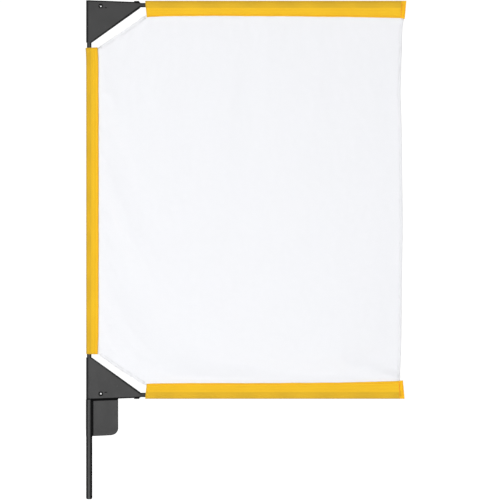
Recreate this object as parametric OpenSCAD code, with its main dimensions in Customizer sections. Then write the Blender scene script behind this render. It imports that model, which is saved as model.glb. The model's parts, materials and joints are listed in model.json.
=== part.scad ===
// Folding diffusion frame: a steel main rod with a grip pin, two arms that fold on riveted
// corner plates, and a white diffusion cloth held by taped sleeves.
// The cloth's plane is XZ. +X runs out along the arms and +Z runs up the main rod.
// The origin is on the grip pin's axis, halfway along the plain length that a grip head clamps.

/* [Frame] */
// Distance between the axes of the two arms
arm_spacing = 597.6; // [450:0.1:900]
// Distance from the main rod's axis to the tips of the arms
arm_reach = 474.2; // [350:1:800]
// Diameter of the main rod
rod_d = 6.9; // [5.8:0.1:8.3]
// Side play of an arm between its corner plates, on each side
arm_side_gap = 0.15; // [0.05:0.05:0.4]

/* [Grip pin] */
// Diameter of the grip pin, which is a standard 3/8 inch stud
pin_d = 9.525; // [9.525:0.001:16]
// Length of the grip pin below the frame
pin_len = 152.4; // [100:0.1:220]
// Depth of the socket that takes the main rod
pin_socket = 25; // [10:1:40]
// Chamfer on the pin's free end
pin_chamfer = 1.5; // [0.5:0.1:3]
// Step on the radius from the plain length up to the thicker stock beside the paddle
collar_step = 0.25; // [0.2:0.05:1]

/* [Paddle] */
// Distance that the paddle plate stands out from the pin's axis
paddle_reach = 44.3; // [25:0.1:60]
// Height of the paddle along the pin
paddle_h = 56.3; // [30:0.1:70]
// Thickness of the paddle plate
paddle_t = 3; // [2:0.1:5]
// Radius of the paddle's free corner
paddle_corner_r = 10; // [4:0.5:12]
// Rise of the paddle's lower edge towards its free corner, in degrees
paddle_slope = 2.6; // [0:0.1:6]
// Depth of the paddle's top edge between the corner plates
paddle_tuck = 1.4; // [0.6:0.1:2]
// Width of the weld bead along the pin
weld_w = 1.5; // [1:0.1:3]
// Angle round the pin's axis at which a weld bead runs out on the pin, in degrees
weld_climb = 36; // [30:1:45]

/* [Corner plates] */
// Thickness of the folded sheet
sheet_t = 1.2; // [0.8:0.1:2]
// Length of a corner plate along its arm
plate_arm_leg = 78.3; // [60:0.1:110]
// Length of a corner plate along the main rod
plate_rod_leg = 64.4; // [45:0.1:100]
// Amount of plate outside the open arm's outer edge, at the corner
edge_cover = 3.7; // [3.3:0.1:6]
// Amount that the plate's outer edge closes in towards the arm at its tip
plate_taper = 3; // [0:0.1:3.2]
// Amount of plate inside the arm's own edge at the tip
plate_tip_cover = 0.4; // [0.2:0.1:3]
// Width left square across the main rod before the slanting edge starts
plate_heel = 3.2; // [1:0.1:8]
// Width of the lip that stops the open arm
lip_w = 7.7; // [4:0.1:12]
// Distance from the plate's tip to the lip
lip_setback = 1.5; // [0.5:0.1:5]
// Gap between the open arm and its lip
lip_gap = 0.05; // [0.02:0.01:0.2]

/* [Pivots] */
// Distance from the main rod's axis to the arm pivots
pivot_x = 18; // [15:0.1:30]
// Distance that a pivot sits inside its arm's axis
pivot_offset = 2; // [0:0.1:3]
// Outside diameter of the tubular rivet's shank
rivet_d = 4; // [3:0.1:5]
// Bore of the tubular rivet
rivet_bore = 3; // [1.5:0.1:3.6]
// Diameter of the rivet's rolled heads
rivet_head_d = 7; // [6:0.1:9]
// Thickness of the rivet's rolled heads
rivet_head_t = 0.9; // [0.5:0.1:1.5]
// Radial clearance of the arm's hole on the rivet
pivot_clear = 0.05; // [0.02:0.01:0.1]
// Outside diameter of the washers beside the arm
washer_d = 9.4; // [8:0.1:12]
// Running gap between a washer and the arm
washer_gap = 0.1; // [0.05:0.01:0.2]

/* [Arm ends] */
// Thickness of the arm's flattened inner end
tang_t = 3.8; // [2.5:0.1:4.4]
// Width of the arm's flattened inner end
tang_w = 9.2; // [8:0.1:12]
// Length of the flattened end beyond the pivot
tang_len = 14; // [12:0.5:20]
// Length of the swage from the flat end to the round rod
swage_len = 11; // [6:0.5:20]
// Distance from the pivot to the latch bead's middle, along the arm
latch_x = 7.8; // [7:0.1:12]
// Distance from the pivot to the latch bead's middle, across the arm
latch_z = 2.4; // [0:0.1:3]
// Length of the latch slot
latch_len = 4; // [2:0.1:5]
// Width of the latch slot
latch_w = 1.3; // [0.8:0.1:2]
// Clearance of the latch bead in its slot and behind its plate
latch_clear = 0.1; // [0.05:0.01:0.2]
// Radius of the rounding on the arm's tip
tip_r = 1.5; // [0.5:0.1:2.4]

/* [Sleeves] */
// Thickness of the woven tape
tape_t = 0.8; // [0.4:0.1:1.5]
// Distance from the main rod's axis to the start of the arm sleeves
sleeve_start = 87; // [80:1:150]
// Distance from an arm's axis to its sleeve's sewn inner edge
sleeve_depth = 17.9; // [14:0.1:30]
// Radial slack of a sleeve round its arm
sleeve_slack = 1.7; // [0.5:0.1:3]
// Gap between an arm's tip and its sleeve's closed end
tip_gap = 1.6; // [0.5:0.1:4]
// Length of the flat, sewn end that shuts a sleeve
sleeve_end_t = 9; // [2:0.1:20]
// Distance from the main rod's axis to the rod sleeve's inner edge
rod_sleeve_reach = 14.1; // [12:0.1:30]
// Radial slack of the sleeve round the main rod
rod_sleeve_slack = 0.35; // [0.1:0.05:2]
// Gap between a corner plate and the end of the rod sleeve
rod_sleeve_gap = 6.6; // [1:0.1:20]
// Width of the sewn edge that joins the rod sleeve's two sides
rod_seam_w = 1.6; // [1:0.1:4]
// Thickness of the hook strip, and of the loop strip
strip_t = 0.7; // [0.4:0.1:1.2]
// Gap between the fastening strips and the ends of the rod sleeve
strip_margin = 4; // [1:0.5:20]
// Gap between the rod sleeve's round part and the fastening strips
strip_inset = 0.4; // [0.1:0.1:2]

/* [Cloth] */
// Thickness of the diffusion cloth
cloth_t = 0.3; // [0.2:0.05:1]
// Distance from the arm sleeves' outer ends to the cloth's free edge
cloth_setback = 5.3; // [1:0.1:30]
// Width of the cloth's sewn hems
hem_w = 4; // [2:0.1:12]
// Gap between the cloth and the sleeves that fold away with the arms
seam_gap = 0.3; // [0.2:0.05:1]

/* [Hidden] */
$fn = 64;

steel = [0.29, 0.29, 0.30];
bare_steel = [0.62, 0.62, 0.60];
fibre = [0.45, 0.33, 0.22];
gold_tape = [0.93, 0.72, 0.16];
white_cloth = [0.96, 0.96, 0.97];
fastening = [0.90, 0.88, 0.82];

// Radii, and the arm stock that runs between plates folded round the main rod
rod_r = rod_d / 2;
arm_r = rod_r - arm_side_gap;
pin_r = pin_d / 2;
collar_r = pin_r + collar_step;
fold_r = rod_r + sheet_t;

// Distance from a corner's outer edge to its arm's axis
arm_inset = edge_cover + arm_r;

// Heights: the plain grip length is centred on the origin, and the frame stands on its shoulder
grip_len = pin_len - paddle_h - pin_chamfer;
shoulder_z = grip_len / 2 + paddle_h;
frame_h = arm_spacing + 2 * arm_inset;
arm_z_lo = shoulder_z + arm_inset;
arm_z_hi = arm_z_lo + arm_spacing;

// The slanting outer edge of a corner plate, and its height above the corner at a place along the arm
taper_slope = plate_taper / plate_arm_leg;
function outer_edge(x) = x * taper_slope;

// Pivot, in a corner's own coordinates
pivot_z = arm_inset + pivot_offset;
washer_t = rod_r - tang_t / 2 - washer_gap;
bead_h = rod_r - tang_t / 2 - latch_clear;

// Thickness of the two slices that the arm's swage is drawn between
slice = 0.5;

// Stop lip: the sheet folded double, against the open arm
lip_t = 2 * sheet_t;
lip_top = arm_inset - arm_r - lip_gap;

// Sleeves
sleeve_bore_r = arm_r + sleeve_slack;
sleeve_r = sleeve_bore_r + tape_t;
flap_t = 2 * tape_t + cloth_t;
sleeve_end = arm_reach + tip_gap + sleeve_end_t;
rod_sleeve_bore_r = rod_r + rod_sleeve_slack;
rod_sleeve_r = rod_sleeve_bore_r + tape_t;
rod_flap_t = 2 * tape_t + 2 * strip_t;
rod_sleeve_lo = shoulder_z + plate_rod_leg + rod_sleeve_gap;
rod_sleeve_hi = shoulder_z + frame_h - plate_rod_leg - rod_sleeve_gap;

// Cloth outline
cloth_lo = arm_z_lo + sleeve_depth + seam_gap;
cloth_hi = arm_z_hi - sleeve_depth - seam_gap;
cloth_edge = sleeve_end - cloth_setback;
hem_t = 3 * cloth_t;
corner_w = sleeve_start - rod_sleeve_reach;
corner_h = rod_sleeve_lo - cloth_lo;
hem_drop = hem_w * sqrt(corner_w * corner_w + corner_h * corner_h) / corner_w;

// ---- places and shared forms ----

// The two corners share one drawing: origin on the main rod's axis, level with the plate's
// outer corner, +X along the arm and +Z towards the middle of the frame
module at_lower() {
    translate([0, 0, shoulder_z]) children();
}

module at_upper() {
    translate([0, 0, shoulder_z + frame_h]) mirror([0, 0, 1]) children();
}

// A flat shape in XZ, given thickness t across Y
module upright(t) {
    translate([0, t / 2, 0]) rotate([90, 0, 0]) linear_extrude(height = t) children();
}

// A round bar along Y, centred on Y = 0
module cross_bar(r, len) {
    rotate([90, 0, 0]) cylinder(r = r, h = len, center = true);
}

// ---- main rod, pin and paddle ----

module main_rod() {
    color(steel)
        translate([0, 0, shoulder_z - pin_socket])
            cylinder(r = rod_r, h = pin_socket + frame_h);
}

// Turned plain below the paddle, left at the stock's full thickness beside it
module grip_pin() {
    color(steel)
        translate([0, 0, shoulder_z - pin_len])
            difference() {
                union() {
                    cylinder(r1 = pin_r - pin_chamfer / 2, r2 = pin_r, h = pin_chamfer);
                    translate([0, 0, pin_chamfer]) cylinder(r = pin_r, h = grip_len);
                    translate([0, 0, pin_len - paddle_h]) cylinder(r = collar_r, h = paddle_h);
                }
                translate([0, 0, pin_len - pin_socket])
                    cylinder(r = rod_r, h = pin_socket + 1);
            }
}

// Plate outline below the shoulder: the top follows the corner plate's outer edge
module paddle_outline() {
    rise = paddle_reach * tan(paddle_slope);
    corner_z = rise - paddle_h + paddle_corner_r;
    difference() {
        polygon([
            [0, -paddle_h],
            [paddle_reach, rise - paddle_h],
            [paddle_reach, outer_edge(paddle_reach) + paddle_tuck],
            [0, paddle_tuck]
        ]);
        translate([paddle_reach - paddle_corner_r, corner_z - paddle_corner_r])
            difference() {
                translate([0, -paddle_corner_r])
                    square([paddle_corner_r + 1, 2 * paddle_corner_r]);
                translate([0, paddle_corner_r]) circle(r = paddle_corner_r);
            }
    }
}

// The plate's inner edge is coped round the pin and round the fold of the corner plate
module paddle() {
    color(steel)
        difference() {
            at_lower() upright(paddle_t) paddle_outline();
            translate([0, 0, shoulder_z - paddle_h - 1]) cylinder(r = collar_r, h = paddle_h + 1);
            at_lower() cylinder(r = fold_r, h = paddle_tuck + 1);
        }
}

// Two fillets of weld in the corners between the pin and the paddle
module paddle_welds() {
    root = paddle_t / 2;
    color(steel)
        for (side = [-1, 1])
            translate([0, 0, shoulder_z - paddle_h + weld_w])
                linear_extrude(height = paddle_h - 2 * weld_w)
                    difference() {
                        polygon([
                            [collar_r - weld_w, side * root],
                            [collar_r + weld_w, side * root],
                            [collar_r * cos(weld_climb), side * collar_r * sin(weld_climb)]
                        ]);
                        circle(r = collar_r);
                    }
}

// ---- corner plates ----

module plate_outline() {
    polygon([
        [0, 0],
        [plate_arm_leg, outer_edge(plate_arm_leg)],
        [plate_arm_leg, arm_inset + arm_r + plate_tip_cover],
        [plate_heel, plate_rod_leg],
        [0, plate_rod_leg]
    ]);
}

module latch_shape(shrink) {
    w = latch_w - 2 * shrink;
    run = latch_len - latch_w;
    translate([-run / 2, -w / 2]) square([run, w]);
    for (end = [-1, 1])
        translate([end * run / 2, 0]) circle(d = w);
}

// One sheet folded round the main rod, drilled for the rivet, with the stop lip across its edge
module gusset() {
    gap = 2 * rod_r;
    color(steel)
        difference() {
            union() {
                difference() {
                    union() {
                        upright(gap + 2 * sheet_t) plate_outline();
                        cylinder(r = fold_r, h = plate_rod_leg);
                    }
                    upright(gap)
                        translate([0, -1]) square([plate_arm_leg + 1, plate_rod_leg + 2]);
                    translate([0, 0, -1]) cylinder(r = rod_r, h = plate_rod_leg + 2);
                }
                translate([plate_arm_leg - lip_setback - lip_w, -fold_r, lip_top - lip_t])
                    cube([lip_w, 2 * fold_r, lip_t]);
            }
            translate([pivot_x, 0, pivot_z]) cross_bar(rivet_d / 2, 2 * fold_r + 2);
            translate([pivot_x + latch_x, -rod_r, pivot_z + latch_z])
                upright(2 * sheet_t + 1) latch_shape(0);
        }
}

module lower_gusset() {
    at_lower() gusset();
}

module upper_gusset() {
    at_upper() gusset();
}

// ---- pivots ----

// Tubular rivet, both heads rolled over outside the plates
module rivet() {
    color(bare_steel)
        translate([pivot_x, 0, pivot_z])
            rotate([90, 0, 0])
                rotate_extrude()
                    for (side = [-1, 1]) {
                        translate([rivet_bore / 2, side > 0 ? 0 : -fold_r])
                            square([(rivet_d - rivet_bore) / 2, fold_r]);
                        translate([rivet_bore / 2, side > 0 ? fold_r : -fold_r - rivet_head_t])
                            rivet_head(side);
                    }
}

// Half section of a rolled head: flat on the plate, with a rounded rim
module rivet_head(side) {
    rim = rivet_head_t / 2;
    run = (rivet_head_d - rivet_bore) / 2 - rim;
    square([run, rivet_head_t]);
    translate([run, rim]) circle(r = rim, $fn = 32);
}

module lower_rivet() {
    at_lower() rivet();
}

module upper_rivet() {
    at_upper() rivet();
}

// A washer between a plate and the arm, on the side of the corner that side names
module washer(side) {
    translate([pivot_x, side * (rod_r - washer_t / 2), pivot_z])
        difference() {
            cross_bar(washer_d / 2, washer_t);
            cross_bar(rivet_d / 2 + pivot_clear, washer_t + 1);
        }
}

module lower_friction_washer() {
    color(fibre) at_lower() washer(-1);
}

module upper_friction_washer() {
    color(fibre) at_upper() washer(-1);
}

// Spring washer: dished, so that only its rim meets the plate
module spring_washer() {
    dish = washer_t / 3;
    color(bare_steel)
        translate([pivot_x, rod_r - washer_t, pivot_z])
            rotate([-90, 0, 0])
                rotate_extrude()
                    polygon([
                        [rivet_d / 2 + pivot_clear, 0],
                        [washer_d / 2 - dish, 0],
                        [washer_d / 2, dish],
                        [washer_d / 2, washer_t],
                        [rivet_d / 2 + pivot_clear, washer_t - dish]
                    ]);
}

module lower_spring_washer() {
    at_lower() spring_washer();
}

module upper_spring_washer() {
    at_upper() spring_washer();
}

// ---- arms ----

// Round bar with a flattened inner end that turns on the rivet
module arm() {
    tang_end = pivot_x + tang_len;
    rod_start = tang_end + swage_len;
    color(steel)
        difference() {
            union() {
                translate([pivot_x, 0, pivot_z]) {
                    cross_bar(tang_w / 2, tang_t);
                    translate([0, -tang_t / 2, -tang_w / 2]) cube([tang_len, tang_t, tang_w]);
                }
                hull() {
                    translate([tang_end - slice, -tang_t / 2, pivot_z - tang_w / 2])
                        cube([slice, tang_t, tang_w]);
                    translate([rod_start, 0, arm_inset])
                        rotate([0, 90, 0]) cylinder(r = arm_r, h = slice, $fn = 32);
                }
                translate([rod_start, 0, arm_inset])
                    rotate([0, 90, 0]) rotate_extrude() arm_half_section(arm_reach - rod_start);
                translate([pivot_x + latch_x, -tang_t / 2 - bead_h / 2, pivot_z + latch_z])
                    upright(bead_h) latch_shape(latch_clear);
            }
            translate([pivot_x, 0, pivot_z]) cross_bar(rivet_d / 2 + pivot_clear, tang_t + 2);
        }
}

// Half section of the round bar along its length, rounded at the tip
module arm_half_section(len) {
    square([arm_r, len - tip_r]);
    square([arm_r - tip_r, len]);
    translate([arm_r - tip_r, len - tip_r])
        intersection() {
            circle(r = tip_r, $fn = 48);
            square(tip_r);
        }
}

module lower_arm() {
    at_lower() arm();
}

module upper_arm() {
    at_upper() arm();
}

// ---- sleeves ----

// Section of an arm sleeve: a loose round pocket that closes to a flat sewn edge
module sleeve_section() {
    neck = sleeve_r + (sleeve_depth - sleeve_r) / 3;
    circle(r = sleeve_r);
    polygon([[-sleeve_r, 0], [sleeve_r, 0], [flap_t / 2, neck], [-flap_t / 2, neck]]);
    translate([-flap_t / 2, 0]) square([flap_t, sleeve_depth]);
}

module arm_sleeve() {
    color(gold_tape)
        translate([0, 0, arm_inset])
            difference() {
                translate([sleeve_start, 0, 0])
                    rotate([90, 0, 90])
                        linear_extrude(height = sleeve_end - sleeve_start) sleeve_section();
                translate([sleeve_start - 1, 0, 0])
                    rotate([0, 90, 0])
                        cylinder(r = sleeve_bore_r, h = sleeve_end - sleeve_end_t - sleeve_start + 1);
            }
}

module lower_sleeve() {
    at_lower() arm_sleeve();
}

module upper_sleeve() {
    at_upper() arm_sleeve();
}

// Sleeve wrapped round the main rod and closed on itself by hook and loop strips
module rod_sleeve() {
    len = rod_sleeve_hi - rod_sleeve_lo;
    seam_x = rod_sleeve_reach - rod_seam_w;
    color(gold_tape)
        translate([0, 0, rod_sleeve_lo])
            difference() {
                linear_extrude(height = len) {
                    circle(r = rod_sleeve_r);
                    translate([0, -rod_flap_t / 2]) square([rod_sleeve_reach, rod_flap_t]);
                }
                translate([0, 0, -1]) cylinder(r = rod_sleeve_bore_r, h = len + 2);
                translate([0, -strip_t, -1]) cube([seam_x, 2 * strip_t, len + 2]);
            }
}

// A fastening strip inside the rod sleeve's flap, on the side of the middle that side names
module fastening_strip(side) {
    start = rod_sleeve_r + strip_inset;
    len = rod_sleeve_hi - rod_sleeve_lo - 2 * strip_margin;
    color(fastening)
        translate([start, side > 0 ? 0 : -strip_t, rod_sleeve_lo + strip_margin])
            cube([rod_sleeve_reach - rod_seam_w - start, strip_t, len]);
}

module hook_strip() {
    fastening_strip(-1);
}

module loop_strip() {
    fastening_strip(1);
}

// ---- cloth ----

module cloth_panel() {
    color(white_cloth)
        upright(cloth_t)
            polygon([
                [rod_sleeve_reach, rod_sleeve_lo + hem_drop],
                [sleeve_start, cloth_lo + hem_drop],
                [sleeve_start, cloth_lo],
                [cloth_edge - hem_w, cloth_lo],
                [cloth_edge - hem_w, cloth_hi],
                [sleeve_start, cloth_hi],
                [sleeve_start, cloth_hi - hem_drop],
                [rod_sleeve_reach, rod_sleeve_hi - hem_drop]
            ]);
}

// A hem along the cloth's slanting edge beside a corner plate
module corner_hem(rod_end, arm_end, drop) {
    color(white_cloth)
        upright(hem_t)
            polygon([
                [rod_sleeve_reach, rod_end],
                [sleeve_start, arm_end],
                [sleeve_start, arm_end + drop],
                [rod_sleeve_reach, rod_end + drop]
            ]);
}

module lower_hem() {
    corner_hem(rod_sleeve_lo, cloth_lo, hem_drop);
}

module upper_hem() {
    corner_hem(rod_sleeve_hi, cloth_hi, -hem_drop);
}

// The hem down the cloth's free edge, between the tips of the arms
module free_hem() {
    color(white_cloth)
        upright(hem_t)
            translate([cloth_edge - hem_w, cloth_lo]) square([hem_w, cloth_hi - cloth_lo]);
}

main_rod();
grip_pin();
paddle();
paddle_welds();
lower_gusset();
upper_gusset();
lower_rivet();
upper_rivet();
lower_friction_washer();
upper_friction_washer();
lower_spring_washer();
upper_spring_washer();
lower_arm();
upper_arm();
lower_sleeve();
upper_sleeve();
rod_sleeve();
hook_strip();
loop_strip();
cloth_panel();
lower_hem();
upper_hem();
free_hem();
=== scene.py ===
import json
import math

import bpy
import numpy as np
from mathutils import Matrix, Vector

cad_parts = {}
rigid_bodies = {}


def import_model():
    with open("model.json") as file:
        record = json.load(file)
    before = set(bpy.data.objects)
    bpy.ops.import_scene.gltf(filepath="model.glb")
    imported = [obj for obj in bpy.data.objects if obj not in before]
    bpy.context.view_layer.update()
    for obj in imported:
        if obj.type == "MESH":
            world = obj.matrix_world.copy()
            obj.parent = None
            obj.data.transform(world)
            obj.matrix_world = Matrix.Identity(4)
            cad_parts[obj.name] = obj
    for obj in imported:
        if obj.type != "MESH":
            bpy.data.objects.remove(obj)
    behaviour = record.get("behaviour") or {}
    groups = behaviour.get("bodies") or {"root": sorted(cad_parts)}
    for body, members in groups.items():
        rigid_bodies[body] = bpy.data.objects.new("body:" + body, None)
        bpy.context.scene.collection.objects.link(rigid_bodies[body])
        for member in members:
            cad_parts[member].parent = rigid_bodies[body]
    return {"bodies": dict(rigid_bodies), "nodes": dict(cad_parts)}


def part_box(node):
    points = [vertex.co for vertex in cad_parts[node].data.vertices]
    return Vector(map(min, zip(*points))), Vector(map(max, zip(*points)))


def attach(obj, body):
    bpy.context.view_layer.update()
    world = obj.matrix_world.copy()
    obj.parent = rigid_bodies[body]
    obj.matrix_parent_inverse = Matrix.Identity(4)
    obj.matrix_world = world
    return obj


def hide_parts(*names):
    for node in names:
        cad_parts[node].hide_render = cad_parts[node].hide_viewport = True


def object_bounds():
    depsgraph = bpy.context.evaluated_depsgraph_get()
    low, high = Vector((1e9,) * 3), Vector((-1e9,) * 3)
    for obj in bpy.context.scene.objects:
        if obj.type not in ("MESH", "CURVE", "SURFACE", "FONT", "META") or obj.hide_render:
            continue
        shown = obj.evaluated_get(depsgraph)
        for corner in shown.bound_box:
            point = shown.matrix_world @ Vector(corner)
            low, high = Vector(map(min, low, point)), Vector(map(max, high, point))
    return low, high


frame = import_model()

cad_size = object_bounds()
MM = 0.001
nodes = frame["nodes"]
bodies = frame["bodies"]

# ---- Main rod and grip pin ----
# The upright of the frame is a solid steel rod. Its foot is glued and pinned into a thicker turned
# pin, the standard stud that a light stand's grip head clamps. Both are blasted and powder coated
# black in one go, so the coat runs unbroken over the step and dulls every edge.


def wire(tree, node, sockets):
    """Links a node's sockets to other sockets, or sets them to plain values, by name or number."""
    for key, value in sockets.items():
        if isinstance(value, bpy.types.NodeSocket):
            tree.links.new(value, node.inputs[key])
        else:
            node.inputs[key].default_value = value


def add(tree, kind, inputs=None, **settings):
    """A node in a tree: inputs are sockets to link or plain values, by name or number."""
    node = tree.nodes.new(kind if "Node" in kind else "ShaderNode" + kind)
    for key, value in settings.items():
        setattr(node, key, value)
    wire(tree, node, inputs or {})
    return node


def calc(tree, operation, a, b=0.0):
    return add(tree, "Math", {0: a, 1: b}, operation=operation).outputs[0]


def times(tree, a, b):
    return calc(tree, "MULTIPLY", a, b)


def minus(tree, a, b):
    return calc(tree, "SUBTRACT", a, b)


def ease(tree, value, low, high, to=(0.0, 1.0)):
    """A smooth step from low to high."""
    inputs = {"Value": value, "From Min": low, "From Max": high, "To Min": to[0], "To Max": to[1]}
    return add(tree, "MapRange", inputs, interpolation_type="SMOOTHSTEP").outputs["Result"]


def make_group(name, inputs, outputs, kind="ShaderNodeTree"):
    """An empty node group with its sockets: inputs are (name, type, value), outputs (name, type)."""
    tree = bpy.data.node_groups.new(name, kind)
    for label, socket, value in inputs:
        made = tree.interface.new_socket(label, in_out="INPUT", socket_type="NodeSocket" + socket)
        if value is not None:
            made.default_value = value
    for label, socket in outputs:
        tree.interface.new_socket(label, in_out="OUTPUT", socket_type="NodeSocket" + socket)
    return tree, tree.nodes.new("NodeGroupInput").outputs, tree.nodes.new("NodeGroupOutput").inputs


# The coat's orange peel and its fine pimples, as a bumped normal, and its cloudy unevenness as a tone
grain, put, out = make_group(
    "Powder grain",
    [("Vector", "Vector", None), ("Peel", "Float", 0.35), ("Pimple", "Float", 0.5)],
    [("Normal", "Vector"), ("Tone", "Float")],
)
peel = add(grain, "TexNoise", {"Vector": put["Vector"], "Scale": 520.0, "Detail": 2.0, "Roughness": 0.5})
pimple = add(grain, "TexNoise", {"Vector": put["Vector"], "Scale": 2600.0, "Detail": 2.0, "Roughness": 0.6})
cloud = add(grain, "TexNoise", {"Vector": put["Vector"], "Scale": 45.0, "Detail": 4.0, "Roughness": 0.65})
soft = add(grain, "Bump", {"Height": peel.outputs["Fac"], "Strength": put["Peel"], "Distance": 0.10 * MM})
fine = add(grain, "Bump", {"Height": pimple.outputs["Fac"], "Strength": put["Pimple"],
                           "Distance": 0.05 * MM, "Normal": soft.outputs[0]})
grain.links.new(fine.outputs[0], out["Normal"])
grain.links.new(ease(grain, cloud.outputs["Fac"], 0.3, 0.7), out["Tone"])

# Where the coat is scuffed in handling: short hairlines across the piece, in patches
wear, put, out = make_group(
    "Handling wear",
    [("Vector", "Vector", None), ("Stretch", "Vector", (60.0, 60.0, 900.0)), ("Amount", "Float", 0.3)],
    [("Mask", "Float")],
)
drawn = add(wear, "VectorMath", {0: put["Vector"], 1: put["Stretch"]}, operation="MULTIPLY")
hair = add(wear, "TexNoise", {"Vector": drawn.outputs[0], "Scale": 1.0, "Detail": 3.0, "Roughness": 0.7})
patch = add(wear, "TexNoise", {"Vector": put["Vector"], "Scale": 30.0, "Detail": 2.0})
scuff = times(wear, ease(wear, hair.outputs["Fac"], 0.60, 0.74),
              ease(wear, patch.outputs["Fac"], 0.45, 0.68))
wear.links.new(times(wear, scuff, put["Amount"]), out["Mask"])


def new_material(name):
    material = bpy.data.materials.new(name)
    material.use_nodes = True
    tree = material.node_tree
    return material, tree, tree.nodes["Principled BSDF"]


def mixed(tree, share, a, b):
    """The colour a turning to b with share."""
    node = add(tree, "Mix", {0: share, 6: a, 7: b}, data_type="RGBA")
    return node.outputs[2]


def powder_coat(name, stretch, scuffed, rim, gloss=0.355, dark=(0.003, 0.003, 0.0032, 1)):
    """Satin black powder coat. rim gives a mask, from a position, where the colour is darkened and the
    gloss taken away: painted shade where light slides off an edge or a rounding, and on the rivets their
    dull blacking.
    """
    material, tree, shader = new_material(name)
    place = add(tree, "TexCoord").outputs["Object"]
    skin = add(tree, "ShaderNodeGroup", node_tree=grain)
    tree.links.new(place, skin.inputs["Vector"])
    rub = add(tree, "ShaderNodeGroup", node_tree=wear)
    tree.links.new(place, rub.inputs["Vector"])
    rub.inputs["Stretch"].default_value = stretch
    rub.inputs["Amount"].default_value = scuffed
    colour = mixed(tree, skin.outputs["Tone"], (0.0105, 0.0105, 0.0108, 1), (0.0150, 0.0150, 0.0152, 1))
    colour = mixed(tree, rub.outputs["Mask"], colour, (0.060, 0.058, 0.055, 1))
    rough = ease(tree, skin.outputs["Tone"], 0.0, 1.0, (0.40, 0.47))
    # Painted shade: the rim mask turns the colour nearly black and takes the gloss away (on the rivets,
    # their blacking).
    mask = rim(tree, place)
    colour = mixed(tree, mask, colour, dark)
    shine = minus(tree, gloss, times(tree, mask, gloss - 0.02))
    wire(tree, shader, {
        "Specular IOR Level": shine,
        "Base Color": colour,
        "Roughness": rough,
        "Normal": skin.outputs["Normal"],
    })
    return material


def finish_metal(name, material, rounding):
    """A CAD piece with its paint and its edges rounded by that much, in millimetres."""
    piece = nodes[name]
    if "custom_normal" in piece.data.attributes:
        piece.data.attributes.remove(piece.data.attributes["custom_normal"])
    piece.data.shade_smooth()
    piece.data.materials.clear()
    piece.data.materials.append(material)
    piece.modifiers.new("Join faces", "WELD").merge_threshold = 0.002 * MM
    bevel = piece.modifiers.new("Round edges", "BEVEL")
    bevel.width, bevel.segments = rounding * MM, 3
    bevel.limit_method, bevel.angle_limit = "ANGLE", math.radians(32)
    bevel.use_clamp_overlap = True
    weight = piece.modifiers.new("Even shading", "WEIGHTED_NORMAL")
    weight.weight, weight.keep_sharp = 80, False
    return piece


rod_low, rod_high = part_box("main_rod")
pin_low, pin_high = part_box("grip_pin")


def painted_flank_shade(start, stop, most):
    """Along an upright bar: painted shade on the flanks, where the rounding turns away from the light."""

    def rim(tree, place):
        apart = add(tree, "SeparateXYZ", {0: place})
        across = calc(tree, "ABSOLUTE", apart.outputs["X"])
        return ease(tree, across, start, stop, (0.0, most))

    return rim


# The flanks of the rod and the pin are darkened with painted shade, by their distance from the middle line.
rod_coat = powder_coat("Powder coat, rod", (60.0, 60.0, 900.0), 0.3,
                       painted_flank_shade(1.8 * MM, 3.2 * MM, 0.9), 0.50)
pin_coat = powder_coat("Powder coat, pin", (90.0, 90.0, 2400.0), 0.55,
                       painted_flank_shade(1.7 * MM, 3.6 * MM, 0.93), 0.54)
finish_metal("main_rod", rod_coat, 0.3)
finish_metal("grip_pin", pin_coat, 0.35)

# ---- Stop paddle and its weld beads ----
# The paddle is a cut steel plate, coped to fit round the pin and stood against it. It keeps the
# frame from turning in the grip head and carries its weight. A bead is run down each side of the
# joint by hand, and the ripples of the pool stay under the black coat.


def new_piece(name, points, faces, material, body, uv=None, marks=None):
    """A mesh that rides on a body. uv is one pair for each point, and marks are named values."""
    mesh = bpy.data.meshes.new(name)
    mesh.from_pydata([tuple(p) for p in points], [], faces)
    mesh.shade_smooth()
    if uv is not None:
        layer = mesh.uv_layers.new(name="Weave")
        corners = np.empty(len(mesh.loops), dtype=np.int32)
        mesh.loops.foreach_get("vertex_index", corners)
        layer.data.foreach_set("uv", np.asarray(uv, np.float32)[corners].ravel())
    for label, values in (marks or {}).items():
        mark = mesh.attributes.new(label, "FLOAT", "POINT")
        mark.data.foreach_set("value", np.asarray(values, np.float32))
    mesh.materials.append(material)
    piece = bpy.data.objects.new(name, mesh)
    bpy.context.scene.collection.objects.link(piece)
    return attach(piece, body)


def grid_faces(rows, columns, wrap=False, start=0):
    """The quads of a grid of points numbered along its columns; wrap joins the last column to the first."""
    faces = []
    for r in range(rows - 1):
        for c in range(columns if wrap else columns - 1):
            d = (c + 1) % columns
            a, b = start + r * columns, start + (r + 1) * columns
            faces.append((a + c, a + d, b + d, b + c))
    return faces


def ripple(u, seed, waves=5, longest=1.0):
    """Smooth unevenness from -1 to 1 along u, where longest is its longest wave."""
    pick = np.random.default_rng(seed)
    total = np.zeros_like(np.asarray(u, float))
    for k in range(1, waves + 1):
        total += np.sin(2 * math.pi * k * np.asarray(u) / longest * pick.uniform(0.8, 1.2)
                        + pick.uniform(0, 6.28)) / k
    return total / sum(1 / k for k in range(1, waves + 1))


def plate_lean(node, foot, side):
    """The slope of a corner plate's outer edge, from the piece itself."""
    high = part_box(node)[1]
    tip = [side * (v.co.z - foot) for v in nodes[node].data.vertices if v.co.x > high.x - 0.6 * MM]
    return math.atan2(min(tip), high.x)


paddle_low, paddle_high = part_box("paddle")
weld_low, weld_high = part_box("paddle_welds")
lower_foot, upper_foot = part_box("lower_gusset")[0].z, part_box("upper_gusset")[1].z


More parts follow.
